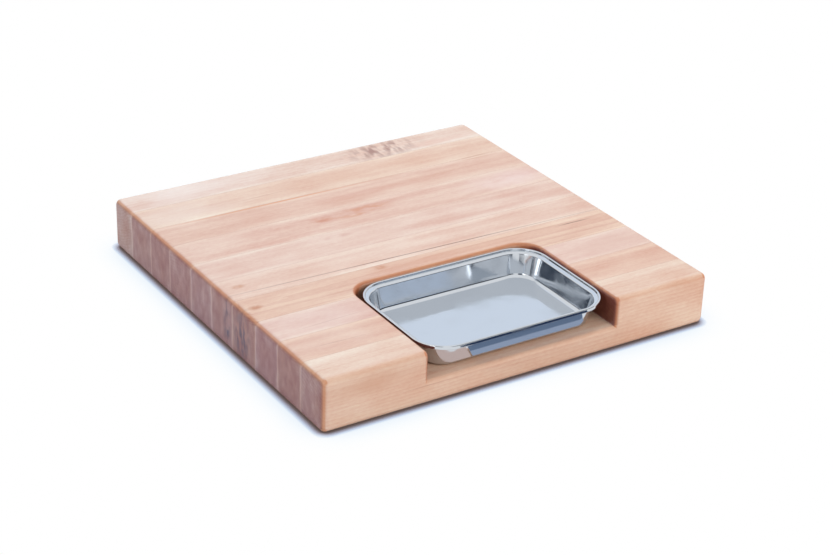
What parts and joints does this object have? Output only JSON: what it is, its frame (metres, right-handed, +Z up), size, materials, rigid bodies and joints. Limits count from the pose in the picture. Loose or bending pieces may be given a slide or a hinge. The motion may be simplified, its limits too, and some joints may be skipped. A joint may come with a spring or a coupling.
{
  "type": "cutting board with drip pan",
  "caption": "Thick square edge-grain maple cutting board with rounded edges and a front pocket that holds a removable stainless steel drip pan.",
  "frame": {"origin": "middle of the board's underside", "axes": "+Z up, square to the underside; -Y towards the side where the pocket opens and the pan slides out; X along the staves"},
  "size_m": [0.4572, 0.4572, 0.0571],
  "materials": {
    "maple": "oiled hard maple, planed and sanded, lengthwise grain on the faces and end grain on both ends of every stave",
    "wood_glue": "cured wood glue, sanded flush with the staves",
    "stainless_steel": "deep-drawn sheet, polished to a mirror-like finish with faint cloudy smudges"
  },
  "bodies": {
    "board": {"stave_01": "maple", "stave_02": "maple", "stave_03": "maple", "stave_04": "maple", "stave_05": "maple", "stave_06": "maple", "stave_07": "maple", "stave_08": "maple", "stave_09": "maple", "stave_10": "maple", "glue_line_01": "wood_glue", "glue_line_02": "wood_glue", "glue_line_03": "wood_glue", "glue_line_04": "wood_glue", "glue_line_05": "wood_glue", "glue_line_06": "wood_glue", "glue_line_07": "wood_glue", "glue_line_08": "wood_glue", "glue_line_09": "wood_glue"},
    "pan": {"pan": "stainless_steel"}
  },
  "joints": [
    {"name": "pan_slide", "type": "slide", "parent": "board", "child": "pan", "axis": [0, -1, 0], "range_m": [0, 0.16]}
  ]
}
